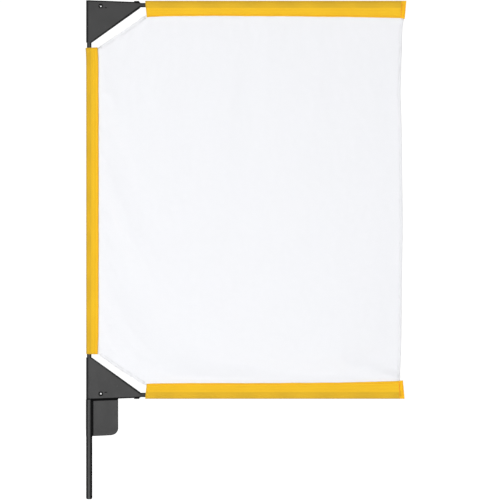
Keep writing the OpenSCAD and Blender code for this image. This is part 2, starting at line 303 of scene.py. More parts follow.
def painted_paddle_shade(tree, place):
    """Painted shade on the paddle: along its cut edges, a strip beside the weld that the pin shades, and a
    painted shadow under the corner plate above.
    """
    apart = add(tree, "SeparateXYZ", {0: place})
    slope = math.tan(plate_lean("lower_gusset", lower_foot, 1.0))
    under = minus(tree, minus(tree, apart.outputs["Z"], lower_foot),
                  times(tree, apart.outputs["X"], slope))
    # painted shadow of the corner plate, in a strip under its lower edge
    shade = ease(tree, under, -3.0 * MM, -2.0 * MM, (0.0, 1.0))
    far = minus(tree, paddle_high.x, apart.outputs["X"])
    foot = minus(tree, apart.outputs["Z"], paddle_low.z)
    edge = calc(tree, "MINIMUM", far, foot)
    # painted shade along the paddle's cut edges
    cut = ease(tree, edge, 0.5 * MM, 1.4 * MM, (0.7, 0.0))
    # painted shade beside the weld, where the pin shades the paddle
    joint = ease(tree, apart.outputs["X"], weld_high.x - 0.2 * MM, weld_high.x + 0.5 * MM, (0.92, 0.0))
    return calc(tree, "MAXIMUM", calc(tree, "MAXIMUM", cut, joint), shade)


finish_metal("paddle", powder_coat("Powder coat, paddle", (700.0, 60.0, 90.0), 0.35, painted_paddle_shade), 0.45)

bead_rows = 96
collar = (pin_high.x - pin_low.x) / 2
toe = np.array([weld_high.x, paddle_high.y])
crown = np.array([math.sqrt(collar ** 2 - weld_high.y ** 2), weld_high.y])
points, faces = [], []
for side in (-1, 1):
    first = len(points)
    for r in range(bead_rows):
        run = r / (bead_rows - 1)
        z = weld_low.z + run * (weld_high.z - weld_low.z)
        ends = min(1.0, math.sqrt(max(0.0, min(run, 1 - run) * 26)) + 0.03)
        pool = abs(math.sin(math.pi * z / (1.9 * MM) + 0.7 * math.sin(z * 410 + side)))
        for c in range(9):
            t = c / 8
            x, y = crown * (1 - t) + toe * t
            swell = math.sin(math.pi * t) * (0.05 + 0.28 * pool) * MM - 0.12 * MM
            x, y = x + 0.45 * swell, y + 0.89 * swell
            x, y = toe[0] * 0.66 + (x - toe[0] * 0.66) * ends, 1.2 * MM + (y - 1.2 * MM) * ends
            sag = 0.9 * MM * math.sin(math.pi * t) * (0.3 * t)
            points.append((x, side * y, z - sag))
        points.append((toe[0] * 0.62, side * 0.6 * MM, z))
    faces += grid_faces(bead_rows, 10, wrap=True, start=first)
    faces += [tuple(range(first, first + 10)), tuple(range(len(points) - 1, len(points) - 11, -1))]


def blacking_and_painted_shade(least, most):
    """All over a small hand-made piece: how dark and dull it is, from place to place. On the rivets that is
    their blacking; on the weld beads it is painted shade for the groove beside the pin.
    """

    def rim(tree, place):
        patchy = add(tree, "TexNoise", {"Vector": place, "Scale": 420.0, "Detail": 3.0})
        return ease(tree, patchy.outputs["Fac"], 0.3, 0.7, (least, most))

    return rim


# The weld beads are darkened almost to black all over: painted shade for the groove between pin and paddle.
weld_coat = powder_coat("Powder coat, weld", (300.0, 300.0, 300.0), 0.2, blacking_and_painted_shade(0.68, 0.94))
welds = new_piece("weld_beads", points, faces, weld_coat, "frame")
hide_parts("paddle_welds")

# ---- Corner plates ----
# Each corner is one blank of sheet steel, folded round the rod so that it makes two triangular
# cheeks with the arm between them, and welded to the rod inside the fold. The long slanting edges
# are sheared, and painted shade darkens the coat along all three edges. A small lip at the tip
# stops the arm when it is square.


def plus(tree, a, b):
    return calc(tree, "ADD", a, b)


def painted_edge_shade(node, foot, side):
    """Painted shade along the rim of a corner plate, from its three straight edges, which are read off the
    piece.
    """
    low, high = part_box(node)
    spots = [v.co for v in nodes[node].data.vertices]
    tip = max(side * (p.z - foot) for p in spots if p.x > high.x - 0.6 * MM)
    heel = max(side * (p.z - foot) for p in spots)
    slope = math.atan2(heel - tip, high.x - (-low.x))
    lean = plate_lean(node, foot, side)

    def rim(tree, place):
        apart = add(tree, "SeparateXYZ", {0: place})
        x = apart.outputs["X"]
        up = times(tree, minus(tree, apart.outputs["Z"], foot), side)
        rise = minus(tree, heel, up)
        run = plus(tree, x, low.x)
        slant = minus(tree, times(tree, rise, math.cos(slope)),
                      times(tree, run, math.sin(slope)))
        base = minus(tree, times(tree, up, math.cos(lean)),
                     times(tree, x, math.sin(lean)))
        back = minus(tree, x, low.x)
        edge = calc(tree, "MINIMUM", calc(tree, "MINIMUM", slant, base), back)
        return ease(tree, edge, 1.2 * MM, 2.3 * MM, (1.0, 0.0))

    return rim


for node, foot, side in (("lower_gusset", lower_foot, 1.0), ("upper_gusset", upper_foot, -1.0)):
    coat = powder_coat(f"Powder coat, {node}", (500.0, 60.0, 260.0), 0.4, painted_edge_shade(node, foot, side))
    finish_metal(node, coat, 0.32)

# ---- Rivets and washers ----
# The arm turns on a tubular steel rivet, rolled over on both cheeks, with daylight through it. On
# one side of the arm is a pressed fibre washer and on the other a spring washer, so the joint is
# stiff enough to stay where it is put. The rivets are blacked, the spring washers only zinc plated.

rivet_black = powder_coat("Blacked steel", (900.0, 900.0, 900.0), 0.8, blacking_and_painted_shade(0.76, 0.95))

zinc, tree, shader = new_material("Zinc plate")
place = add(tree, "TexCoord").outputs["Object"]
bloom = add(tree, "TexNoise", {"Vector": place, "Scale": 900.0, "Detail": 4.0})
wire(tree, shader, {
    "Base Color": mixed(tree, bloom.outputs["Fac"], (0.40, 0.40, 0.41, 1), (0.56, 0.56, 0.55, 1)),
    "Roughness": ease(tree, bloom.outputs["Fac"], 0.2, 0.8, (0.28, 0.46)),
})
lathe = add(tree, "Bump", {"Height": bloom.outputs["Fac"], "Strength": 0.2, "Distance": 0.03 * MM})
wire(tree, shader, {
    "Normal": lathe.outputs[0],
    "Metallic": 1.0,
})

fibre, tree, shader = new_material("Pressed fibre")
place = add(tree, "TexCoord").outputs["Object"]
felt = add(tree, "TexNoise", {"Vector": place, "Scale": 1600.0, "Detail": 5.0, "Roughness": 0.7})
tree.links.new(mixed(tree, felt.outputs["Fac"], (0.12, 0.065, 0.03, 1), (0.25, 0.16, 0.09, 1)),
               shader.inputs["Base Color"])
nap = add(tree, "Bump", {"Height": felt.outputs["Fac"], "Strength": 0.5, "Distance": 0.06 * MM})
wire(tree, shader, {
    "Normal": nap.outputs[0],
    "Roughness": 0.82,
})

for end in ("lower", "upper"):
    finish_metal(f"{end}_rivet", rivet_black, 0.3)
    finish_metal(f"{end}_friction_washer", fibre, 0.08)
    finish_metal(f"{end}_spring_washer", zinc, 0.08)

# ---- Arms ----
# An arm is the same steel rod as the upright, hot swaged flat at its inner end to take the rivet
# and rounded at its tip so that it slides into its sleeve. The latch bead pressed into the flat
# drops into the slot in the front cheek when the arm is square.


def painted_arm_shade(height):
    """Along an arm: painted shade on the flanks above and below its axis, where the rounding turns from the
    light.
    """

    def rim(tree, place):
        apart = add(tree, "SeparateXYZ", {0: place})
        across = calc(tree, "ABSOLUTE", minus(tree, apart.outputs["Z"], height))
        return ease(tree, across, 1.8 * MM, 3.0 * MM, (0.0, 0.95))

    return rim


def arm_axis(end):
    """The height of an arm's axis, from the round part of its rod."""
    far = [v.co.z for v in nodes[f"{end}_arm"].data.vertices if v.co.x > 0.2]
    return (min(far) + max(far)) / 2


axis = {end: arm_axis(end) for end in ("lower", "upper")}
for end in ("lower", "upper"):
    finish_metal(f"{end}_arm", powder_coat(f"Powder coat, {end} arm", (900.0, 60.0, 60.0), 0.4,
                                           painted_arm_shade(axis[end])), 0.25)

# ---- Arm sleeves ----
# Each arm slides into a sleeve of wide woven nylon tape in golden yellow, folded lengthwise over
# the cloth's edge and sewn through all layers. The tape is ribbed, a little stretched over the
# rod, and its outer end is turned in and stitched shut, which puckers it.

# The tape's weave, along and across it in metres: cords lengthwise, picks across, broad bands
weave, put, out = make_group(
    "Tape weave",
    [("Along and across", "Vector", None), ("Band", "Float", 4.5 * MM), ("Depth", "Float", 0.7)],
    [("Normal", "Vector"), ("Tone", "Float"), ("Band mask", "Float")],
)
lie = add(weave, "SeparateXYZ", {0: put["Along and across"]})
drift = add(weave, "TexNoise", {"Vector": put["Along and across"], "Scale": 60.0, "Detail": 2.0})
off = times(weave, minus(weave, drift.outputs["Fac"], 0.5), 0.5 * MM)
u = plus(weave, lie.outputs["X"], off)
v = plus(weave, lie.outputs["Y"], off)
two_pi = 2 * math.pi
cord_wave = calc(weave, "SINE", times(weave, v, two_pi / (0.75 * MM)))
pick_wave = calc(weave, "SINE", times(weave, u, two_pi / (0.62 * MM)))
band_wave = calc(weave, "SINE", calc(weave, "DIVIDE", times(weave, v, two_pi), put["Band"]))
cell = times(weave, cord_wave, pick_wave)
relief = plus(weave, times(weave, cell, 0.5), times(weave, pick_wave, 0.5))
relief = plus(weave, relief, times(weave, band_wave, 0.8))
fluff = add(weave, "TexNoise", {"Vector": put["Along and across"], "Scale": 1500.0, "Detail": 3.0})
relief = plus(weave, relief, fluff.outputs["Fac"])
bump = add(weave, "Bump", {"Height": relief, "Strength": put["Depth"], "Distance": 0.10 * MM})
weave.links.new(bump.outputs[0], out["Normal"])
weave.links.new(ease(weave, cell, -1.0, 1.0), out["Tone"])
weave.links.new(ease(weave, band_wave, -0.2, 0.9), out["Band mask"])

tape, tree, shader = new_material("Golden tape")
lay = add(tree, "UVMap", uv_map="Weave").outputs["UV"]
yarn = add(tree, "ShaderNodeGroup", node_tree=weave)
tree.links.new(lay, yarn.inputs["Along and across"])
over = add(tree, "Attribute", attribute_name="over_bar").outputs["Fac"]
blotch = add(tree, "TexNoise", {"Vector": lay, "Scale": 22.0, "Detail": 3.0})
colour = mixed(tree, yarn.outputs["Tone"], (0.80, 0.450, 0.010, 1), (0.93, 0.560, 0.016, 1))
colour = mixed(tree, times(tree, yarn.outputs["Band mask"], 0.30), colour, (0.80, 0.43, 0.008, 1))
colour = mixed(tree, times(tree, ease(tree, blotch.outputs["Fac"], 0.35, 0.7), 0.25), colour,
               (0.93, 0.60, 0.02, 1))
colour = mixed(tree, times(tree, over, 0.70), colour, (0.600, 0.362, 0.018, 1))
double = add(tree, "Attribute", attribute_name="turned_in").outputs["Fac"]
colour = mixed(tree, times(tree, double, 0.7), colour, (0.98, 0.52, 0.006, 1))
wire(tree, shader, {
    "Base Color": colour,
    "Normal": yarn.outputs["Normal"],
    "Roughness": 0.78,
    "Specular IOR Level": 0.25,
    "Sheen Weight": 0.15,
})


def sewing_thread(name, dark, light, rough):
    """Twisted sewing thread: its ply shows as slanting bands."""
    material, tree, shader = new_material(name)
    place = add(tree, "TexCoord").outputs["Object"]
    ply = add(tree, "TexWave", {"Vector": place, "Scale": 900.0, "Distortion": 2.0},
              bands_direction="DIAGONAL")
    twist = add(tree, "Bump", {"Height": ply.outputs["Fac"], "Strength": 0.5, "Distance": 0.05 * MM})
    wire(tree, shader, {
        "Base Color": mixed(tree, ply.outputs["Fac"], dark, light),
        "Normal": twist.outputs[0],
        "Roughness": rough,
    })
    return material


thread = sewing_thread("Orange thread", (0.78, 0.22, 0.004, 1), (0.95, 0.38, 0.010, 1), 0.6)

# How far an arm has folded, and where it has gone
share, put, out = make_group(
    "Fold share", [("Arm", "Object", None)],
    [("Share", "Float"), ("Location", "Vector"), ("Rotation", "Rotation")], "GeometryNodeTree",
)
told = add(share, "GeometryNodeObjectInfo", {"Object": put["Arm"]}, transform_space="ORIGINAL")
heading = add(share, "FunctionNodeRotateVector",
              {"Vector": (1, 0, 0), "Rotation": told.outputs["Rotation"]})
climb = add(share, "SeparateXYZ", {0: heading.outputs[0]}).outputs["Z"]
share.links.new(ease(share, calc(share, "ABSOLUTE", climb), 0.0, 1.0), out["Share"])
share.links.new(told.outputs["Location"], out["Location"])
share.links.new(told.outputs["Rotation"], out["Rotation"])

# A sleeve's sewn edge turns about the arm, to the front, as the arm folds against the upright
swing, put, out = make_group(
    "Sleeve swing",
    [("Geometry", "Geometry", None), ("Arm", "Object", None), ("Axis height", "Float", 0.0),
     ("Side", "Float", 1.0), ("Radius", "Float", 5.0 * MM)],
    [("Geometry", "Geometry")], "GeometryNodeTree",
)
fold = add(swing, "GeometryNodeGroup", {}, node_tree=share)
swing.links.new(put["Arm"], fold.inputs["Arm"])
spot = add(swing, "GeometryNodeInputPosition").outputs[0]
height = minus(swing, add(swing, "SeparateXYZ", {0: spot}).outputs["Z"], put["Axis height"])
inward = times(swing, height, put["Side"])
part = ease(swing, inward, times(swing, put["Radius"], 0.3),
            times(swing, put["Radius"], 1.6))
angle = times(swing, times(swing, part, fold.outputs["Share"]), math.pi / 2)
centre = add(swing, "CombineXYZ", {"Z": put["Axis height"]}).outputs[0]
turned = add(swing, "VectorRotate", {"Vector": spot, "Center": centre, "Axis": (1, 0, 0),
                                     "Angle": times(swing, angle, put["Side"])})
moved = add(swing, "GeometryNodeSetPosition",
            {"Geometry": put["Geometry"], "Position": turned.outputs[0]})
swing.links.new(moved.outputs[0], out["Geometry"])


def follow(piece, tree, **inputs):
    """A modifier that runs a geometry group on a piece, with its named inputs set."""
    modifier = piece.modifiers.new(tree.name, "NODES")
    modifier.node_group = tree
    for item in tree.interface.items_tree:
        key = item.name.replace(" ", "_").lower()
        if item.item_type == "SOCKET" and item.in_out == "INPUT" and key in inputs:
            modifier[item.identifier] = inputs[key]
    return modifier


def tape_section(radius, depth, gap, flat=4.0 * MM):
    """The tape's middle line, from its front edge round the bar to its back edge: inward, across."""
    corner = depth - flat
    touch = math.atan2(gap, corner) + math.acos(radius / math.hypot(corner, gap))
    turn = np.linspace(touch, 2 * math.pi - touch, 27)
    arc = np.stack([radius * np.cos(turn), -radius * np.sin(turn)], 1)
    t = np.linspace(0, 1, 8)[:-1, None]
    slope = np.array([[corner, -gap]]) * (1 - t) + arc[:1] * t
    slope[:, 1] -= 0.22 * MM * np.sin(math.pi * t[:, 0])
    sewn = np.stack([np.linspace(depth, corner, 5)[:-1], np.full(4, -gap)], 1)
    front = np.concatenate([sewn, slope])
    return np.concatenate([front, arc, front[::-1] * (1, -1)])


def tape_sleeve(name, body, spots, length, radius, depth, thick, gap, edge, seed,
                slant=(0, 0), shut=0.0, bulge=1.0):
    """A folded tape round a bar. spots(s, inward, across) places a point; edge(u) is how much deeper
    than its plain depth the sewn edge lies; slant is how far each end leans; shut is the length of
    the far end that is sewn flat; bulge is how far the tape stands off the bar's outer side. Also
    gives back the place of a point on the tape's outside, and the tape's flat width."""
    rows = int(length / (3.5 * MM)) + 1
    section = tape_section(radius, depth, gap)
    step = np.linalg.norm(np.diff(section, axis=0), axis=1)
    across = np.concatenate([[0], np.cumsum(step)])
    run = np.linspace(0, 1, rows)
    last = length - shut
    run = np.unique(np.concatenate([run, np.linspace(last / length, 1, 12)])) if shut else run
    rows = len(run)

    def bend(u, inward, y):
        """Unevenness: the flap's depth, a slow twist of its lie, and the sewn end."""
        s = u * length
        deeper = edge(u) + 0.25 * MM * ripple(s, seed, 6, 0.11)
        stretch = np.clip((inward - 0.9 * radius) / (depth - 0.9 * radius), 0, None)
        inward = inward + stretch * deeper
        sway = 0.35 * MM * ripple(s, seed + 1, 4, 0.19) * np.clip(stretch, 0, 1)
        puff = 1 + 0.035 * ripple(s + 3 * inward, seed + 2, 7, 0.06)
        inward = np.where(inward < 0, inward * bulge, inward)
        if shut:
            near = np.clip((s - last) / (0.8 * shut), 0, 1)
            near = near * near * (3 - 2 * near)
            flat = np.sign(y) * np.minimum(np.abs(y), 3.0 * gap)
            y = (y * (1 - near) + flat * near) * puff
            y = y + near * 0.15 * MM * np.sin(inward / (1.15 * MM))
            inward = inward + np.clip(stretch, 0, 1) * 0.9 * MM * np.clip((s - last) / shut, 0, 1)
        else:
            y = y * puff
        lean = slant[0] * np.clip(1 - s / 0.012, 0, 1) + slant[1] * np.clip(1 - (length - s) / 0.012, 0, 1)
        s = s + lean * (inward - 0.3 * depth) / depth
        return s, inward, y + sway

    points, uv, over, turned_in = [], [], [], []
    for u in run:
        s, inward, y = bend(u, section[:, 0], section[:, 1])
        points += [spots(a, b, c) for a, b, c in zip(s, inward, y)]
        uv += [(u * length, w) for w in across]
        mask = np.clip((1.05 * radius - section[:, 0]) / (0.45 * radius), 0, 1)
        end = float(np.clip((u * length - last - 1.2 * MM) / (1.2 * MM), 0, 1)) if shut else 0.0
        over += list(mask * mask * (3 - 2 * mask) * (0.86 + 0.14 * math.sin(41 * u + seed)) * (1 - end))
        turned_in += [end] * len(across)
    piece = new_piece(name, points, grid_faces(rows, len(section)), tape, body, uv,
                      {"over_bar": over, "turned_in": turned_in})

    half = section[:len(section) // 2 + 1][::-1]

    def outside(s, inset, side):
        """On the front (-1) or back (1), a distance inset from the sewn edge."""
        y = -side * np.interp(depth - inset, half[:, 0], half[:, 1])
        a, b, c = bend(s / length, np.array([depth - inset]), np.array([y]))
        return spots(a[0], b[0], c[0] + side * (thick / 2 + 0.02 * MM))

    return piece, outside, float(across[-1])


def thicken(piece, thick):
    modifier = piece.modifiers.new("Thickness", "SOLIDIFY")
    modifier.thickness, modifier.offset = thick, 0.0
    modifier.use_even_offset = False
    return modifier


def stitch_mesh(name, stitches, radius, material, body):
    """One mesh of sewn stitches: each is (from, to, the way it stands up), and dips at both ends."""
    sides = 6
    along = np.array([0.0, 0.13, 0.5, 0.87, 1.0])
    girth = np.array([0.35, 0.9, 1.0, 0.9, 0.35]) * radius
    lift = np.array([-0.7, 0.15, 0.4, 0.15, -0.7]) * radius
    points, faces = [], []
    for start, stop, up in stitches:
        start, stop, up = (np.array(w, float) for w in (start, stop, up))
        way = stop - start
        beside = np.cross(way, up)
        beside /= np.linalg.norm(beside)
        first = len(points)
        for t, g, l in zip(along, girth, lift):
            for k in range(sides):
                a = 2 * math.pi * k / sides
                points.append(start + way * t + up * (l + g * math.cos(a)) + beside * g * math.sin(a))
        faces += grid_faces(5, sides, wrap=True, start=first)
        faces += [tuple(range(first, first + sides))[::-1],
                  tuple(range(len(points) - sides, len(points)))]
    return new_piece(name, points, faces, material, body)


def row_of_stitches(outside, length, inset, side, pitch=2.9 * MM, trim=3.0 * MM):
    """Stitches along a sleeve's flap, on its front (-1) or back (1)."""
    made = []
    for k in range(int((length - 2 * trim) / pitch)):
        s = trim + k * pitch + 0.12 * MM * math.sin(7.3 * k)
        made.append((outside(s, inset, side), outside(s + 0.86 * pitch, inset, side), (0, side, 0)))
    return made


tape_thick = 0.75 * MM
arm_edge = {
    "lower": lambda u: (-1.1 * np.exp(-u / 0.05) + 0.2 + 3.5 * u ** 4) * MM,
    "upper": lambda u: (-1.4 + 1.9 * np.exp(-u / 0.08) + 3.4 * u ** 2.4) * MM,
}
arm_bulge = {"lower": 1.03, "upper": 1.16}
arm_short = {"lower": 2.4 * MM, "upper": -0.3 * MM}
sleeve_depth = {}
for end, side, seed in (("lower", 1, 11), ("upper", -1, 23)):
    low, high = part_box(f"{end}_sleeve")
    centre_z = axis[end]
    depth = max(high.z - centre_z, centre_z - low.z)
    radius = (high.y - low.y) / 2 - tape_thick / 2
    length = high.x - low.x - arm_short[end]
    piece, outside, wide = tape_sleeve(
        f"{end}_arm_sleeve", f"{end}_arm",
        lambda s, h, y, low=low, z=centre_z, side=side: (low.x + s, y, z + side * h),
        length, radius, depth, tape_thick, 0.55 * MM, arm_edge[end], seed,
        slant=(1.6 * MM, -1.6 * MM), shut=9.0 * MM, bulge=arm_bulge[end])
    thicken(piece, tape_thick)
    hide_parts(f"{end}_sleeve")
    seams = [x for f in (-1, 1) for x in row_of_stitches(outside, length, 2.2 * MM, f)]
    # the sewn shut end: a tack of three rows and one row more, across the tape, front and back
    for f in (-1, 1):
        for tack in (length - 7.2 * MM, length - 6.7 * MM, length - 6.2 * MM, length - 1.6 * MM):
            for k in range(int((depth + radius - 2 * MM) / (2.4 * MM))):
                at = 1.2 * MM + 2.4 * MM * k
                seams.append((outside(tack + 0.15 * MM * math.sin(3.7 * k), at, f),
                              outside(tack, at + 2.1 * MM, f), (0, f, 0)))
    sewing = stitch_mesh(f"{end}_sleeve_stitching", seams, 0.27 * MM, thread, f"{end}_arm")
    for made in (piece, sewing):
        follow(made, swing, arm=bodies[f"{end}_arm"], axis_height=centre_z, side=float(side), radius=radius)
    piece.modifiers.move(len(piece.modifiers) - 1, 0)
    sleeve_depth[end] = depth

# ---- Rod sleeve and its fastening ----
# The upright's sleeve is the same tape, but it is open along its length, so that the cloth can be
# taken off with the frame assembled. It closes round the rod with a strip of hooks on one side
# and of loops on the other, pressed together inside the flap.

low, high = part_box("rod_sleeve")
rod_radius = (high.y - low.y) / 2 - tape_thick / 2
length = high.z - low.z
slipped = 1.4 * MM


def rod_edge(u):
    """The ends of the flap draw in by a millimetre, and its middle fills out."""
    return (-1.0 * np.exp(-u / 0.03) - 0.3 * np.exp(-(1 - u) / 0.03) + 0.35 * np.sin(math.pi * u)) * MM


def round_rod(s, h, y):
    """A point of the sleeve: its slack upper end hangs away from the cloth by a millimetre."""
    slack = 1.2 * MM * np.exp(-(length - s) / (10 * MM))
    return (h - slack, y, low.z - slipped + s)


rod_sleeve, rod_outside, wide = tape_sleeve(
    "rod_sleeve_tape", "frame", round_rod, length, rod_radius, high.x, tape_thick, 1.1 * MM, rod_edge, 37,
    slant=(-0.6 * MM, 0.9 * MM))
thicken(rod_sleeve, tape_thick)
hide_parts("rod_sleeve")
rod_seams = [x for f in (-1, 1) for x in row_of_stitches(rod_outside, length, 1.9 * MM, f)]
for s in (1.6 * MM, length - 1.6 * MM):
    for f in (-1, 1):
        for k in range(3):
            rod_seams.append((rod_outside(s, 1.0 * MM + 2.0 * MM * k, f),
                              rod_outside(s, 2.7 * MM + 2.0 * MM * k, f), (0, f, 0)))
rod_sewing = stitch_mesh("rod_sleeve_stitching", rod_seams, 0.24 * MM, thread, "frame")

# The flap turns about the upright, to the front, where an arm folds against it
rod_turn, put, out = make_group(
    "Rod sleeve turn",
    [("Upper arm", "Object", None), ("Lower arm", "Object", None), ("Foot", "Float", 0.1),
     ("Top", "Float", 0.7)],
    [("Angle", "Float")], "GeometryNodeTree",
)
spot = add(rod_turn, "GeometryNodeInputPosition").outputs[0]
height = add(rod_turn, "SeparateXYZ", {0: spot}).outputs["Z"]
along = calc(rod_turn, "DIVIDE", minus(rod_turn, height, put["Foot"]),
             minus(rod_turn, put["Top"], put["Foot"]))
turns = []
for arm, far in (("Upper arm", (0.0, 1.0)), ("Lower arm", (1.0, 0.0))):
    fold = add(rod_turn, "GeometryNodeGroup", {}, node_tree=share)
    rod_turn.links.new(put[arm], fold.inputs["Arm"])
    start = 0.0 if far[1] else 0.75
    turns.append(times(rod_turn, fold.outputs["Share"], ease(rod_turn, along, start, start + 0.25, far)))
both = calc(rod_turn, "MAXIMUM", turns[0], turns[1])
rod_turn.links.new(times(rod_turn, both, -math.pi / 2), out["Angle"])

rod_swing, put, out = make_group(
    "Rod sleeve swing",
    [("Geometry", "Geometry", None), ("Upper arm", "Object", None), ("Lower arm", "Object", None),
     ("Foot", "Float", 0.1), ("Top", "Float", 0.7), ("Radius", "Float", 5.0 * MM)],
    [("Geometry", "Geometry")], "GeometryNodeTree",
)
turn = add(rod_swing, "GeometryNodeGroup", {}, node_tree=rod_turn)
for label in ("Upper arm", "Lower arm", "Foot", "Top"):
    rod_swing.links.new(put[label], turn.inputs[label])
spot = add(rod_swing, "GeometryNodeInputPosition").outputs[0]
part = ease(rod_swing, add(rod_swing, "SeparateXYZ", {0: spot}).outputs["X"],
            times(rod_swing, put["Radius"], 0.3), times(rod_swing, put["Radius"], 1.6))
turned = add(rod_swing, "VectorRotate", {"Vector": spot, "Axis": (0, 0, 1),
                                         "Angle": times(rod_swing, part, turn.outputs["Angle"])})
moved = add(rod_swing, "GeometryNodeSetPosition",
            {"Geometry": put["Geometry"], "Position": turned.outputs[0]})
rod_swing.links.new(moved.outputs[0], out["Geometry"])

fastening, tree, shader = new_material("Hook and loop")
place = add(tree, "TexCoord").outputs["Object"]
pile = add(tree, "TexVoronoi", {"Vector": place, "Scale": 1500.0, "Randomness": 0.7})
matted = add(tree, "TexNoise", {"Vector": place, "Scale": 140.0, "Detail": 3.0})
tone = mixed(tree, pile.outputs["Distance"], (0.80, 0.78, 0.72, 1), (0.52, 0.50, 0.45, 1))
tree.links.new(mixed(tree, times(tree, matted.outputs["Fac"], 0.4), tone, (0.66, 0.63, 0.56, 1)),
               shader.inputs["Base Color"])
tufts = add(tree, "Bump", {"Height": pile.outputs["Distance"], "Strength": 0.9, "Distance": 0.2 * MM})
wire(tree, shader, {
    "Normal": tufts.outputs[0],
    "Roughness": 0.85,
})

strips = []
for node, side, pitch in (("hook_strip", -1, 1.5 * MM), ("loop_strip", 1, 2.1 * MM)):
    a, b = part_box(node)
    rows, columns = int((b.z - a.z) / pitch) + 1, 7
    back, face = (a.y, b.y) if side < 0 else (b.y, a.y)
    points = []
    for layer in (back, face):
        for r in range(rows):
            for c in range(columns):
                x = a.x + (b.x - a.x) * c / (columns - 1)
                z = a.z + (b.z - a.z) * r / (rows - 1)
                rough = 0.10 * MM * (0.5 + 0.5 * math.sin(r * 2.4 + c * 4.1 + side)) if layer == face else 0
                points.append((x, layer + side * rough, z))
    count = rows * columns
    faces = grid_faces(rows, columns) + [f[::-1] for f in grid_faces(rows, columns, start=count)]
    border = ([c for c in range(columns)] + [r * columns + columns - 1 for r in range(1, rows)]
              + [(rows - 1) * columns + c for c in range(columns - 2, -1, -1)]
              + [r * columns for r in range(rows - 2, 0, -1)])
    for i, p in enumerate(border):
        q = border[(i + 1) % len(border)]
        faces.append((p, q, q + count, p + count)[::-1])
    strip = new_piece(f"{node}_band", points, faces, fastening, "frame")
    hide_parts(node)
    strips.append(strip)
rod_arms = {"upper_arm": bodies["upper_arm"], "lower_arm": bodies["lower_arm"],
            "foot": low.z, "top": high.z}
for piece in (rod_sleeve, rod_sewing, *strips):
    follow(piece, rod_swing, radius=rod_radius, **rod_arms)
    piece.modifiers.move(len(piece.modifiers) - 1, 0)

# ---- Diffusion cloth ----
# The cloth is one piece of thin white artificial silk, cut with two corners off so that it clears
# the corner plates. Three of its edges lie between the tape's layers; the others are free. It is
# held flat but not drum tight, so soft puckers run out from the seams and along the cut corners.

panel_low, panel_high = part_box("cloth_panel")
hem_low, hem_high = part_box("free_hem")
start_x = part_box("lower_sleeve")[0].x
flap_low, flap_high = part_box("lower_sleeve")[1].z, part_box("upper_sleeve")[0].z
seam_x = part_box("rod_sleeve")[1].x
rod_span = (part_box("rod_sleeve")[0].z - slipped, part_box("rod_sleeve")[1].z - slipped)


def free_edge(v):
    """Where the free edge lies, from the lower arm (0) to the upper one (1): drawn out at the arms."""
    pull = (5.2 * np.exp(-(1 - v) / 0.022) - 3.0 * np.exp(-v / 0.055) + 0.6 * np.exp(-v / 0.012)
            - 1.9 * np.exp(-((v - 0.79) / 0.08) ** 2) + 1.3 * np.exp(-((v - 0.44) / 0.12) ** 2))
    return hem_high.x - 0.4 * MM + pull * MM


def cut_ends(x):
    """The cloth's lowest and highest point at x: along the cut corners, then inside the sleeves."""
    t = np.clip((x - seam_x) / (start_x - seam_x), 0, 1)
    fall = (1.9 * np.sin(math.pi * t) + 3.2 * t ** 2) * MM
    rise = (0.5 * np.sin(math.pi * t) + 3.2 * t ** 4) * MM
    low = rod_span[0] + (flap_low - rod_span[0]) * t - fall
    high = rod_span[1] + (flap_high - rod_span[1]) * t + rise
    return low, high


def held_from(x):
    """How far in from its lowest and highest edge the cloth at x is held: up to the tape's edge."""
    u = np.clip((x - start_x) / (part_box("lower_sleeve")[1].x - start_x), 0, 1)
    tucked = 3.2 * MM
    return tucked + arm_edge["lower"](u) + 0.2 * MM, tucked + arm_edge["upper"](u) + 0.2 * MM


columns, rows = 105, 129
under_tape = 1.4 * MM
grid = np.zeros((rows, columns, 3))
reach = (np.linspace(0, 1, columns) ** 1.04)
for r in range(rows):
    v = float(np.clip((r - 1) / (rows - 3), 0, 1))
    edge = free_edge(np.array(r / (rows - 1))) - 0.5 * MM
    xs = seam_x - under_tape + (edge - seam_x + under_tape) * reach
    lows, highs = cut_ends(xs)
    inner_low, inner_high = lows + held_from(xs)[0], highs - held_from(xs)[1]
    grid[r, :, 0] = xs
    grid[r, :, 2] = inner_low + (inner_high - inner_low) * v
    if r in (0, rows - 1):
        grid[r, :, 2] = highs if r else lows
flat_cut = grid.reshape(-1, 3).copy()
cloth_faces = grid_faces(rows, columns)

silk, tree, shader = new_material("White silk")
cloth_weave, put, out = make_group(
    "Cloth weave",
    [("Along and across", "Vector", None), ("Thread", "Float", 0.42 * MM), ("Depth", "Float", 0.35)],
    [("Normal", "Vector"), ("Tone", "Float"), ("Slub", "Float")],
)
lie = add(cloth_weave, "SeparateXYZ", {0: put["Along and across"]})
warp = calc(cloth_weave, "SINE", calc(cloth_weave, "DIVIDE", calc(
    cloth_weave, "MULTIPLY", lie.outputs["X"], two_pi), put["Thread"]))
weft = calc(cloth_weave, "SINE", calc(cloth_weave, "DIVIDE", calc(
    cloth_weave, "MULTIPLY", lie.outputs["Y"], two_pi), put["Thread"]))
over_under = times(cloth_weave, warp, weft)
thick_yarn = add(cloth_weave, "VectorMath", {0: put["Along and across"], 1: (30.0, 1400.0, 1.0)},
                 operation="MULTIPLY")
slub = add(cloth_weave, "TexNoise", {"Vector": thick_yarn.outputs[0], "Scale": 1.0, "Detail": 2.0})
relief = plus(cloth_weave, over_under, times(cloth_weave, slub.outputs["Fac"], 1.2))
bump = add(cloth_weave, "Bump", {"Height": relief, "Strength": put["Depth"], "Distance": 0.04 * MM})
cloth_weave.links.new(bump.outputs[0], out["Normal"])
cloth_weave.links.new(ease(cloth_weave, over_under, -1.0, 1.0), out["Tone"])
cloth_weave.links.new(ease(cloth_weave, slub.outputs["Fac"], 0.55, 0.8), out["Slub"])

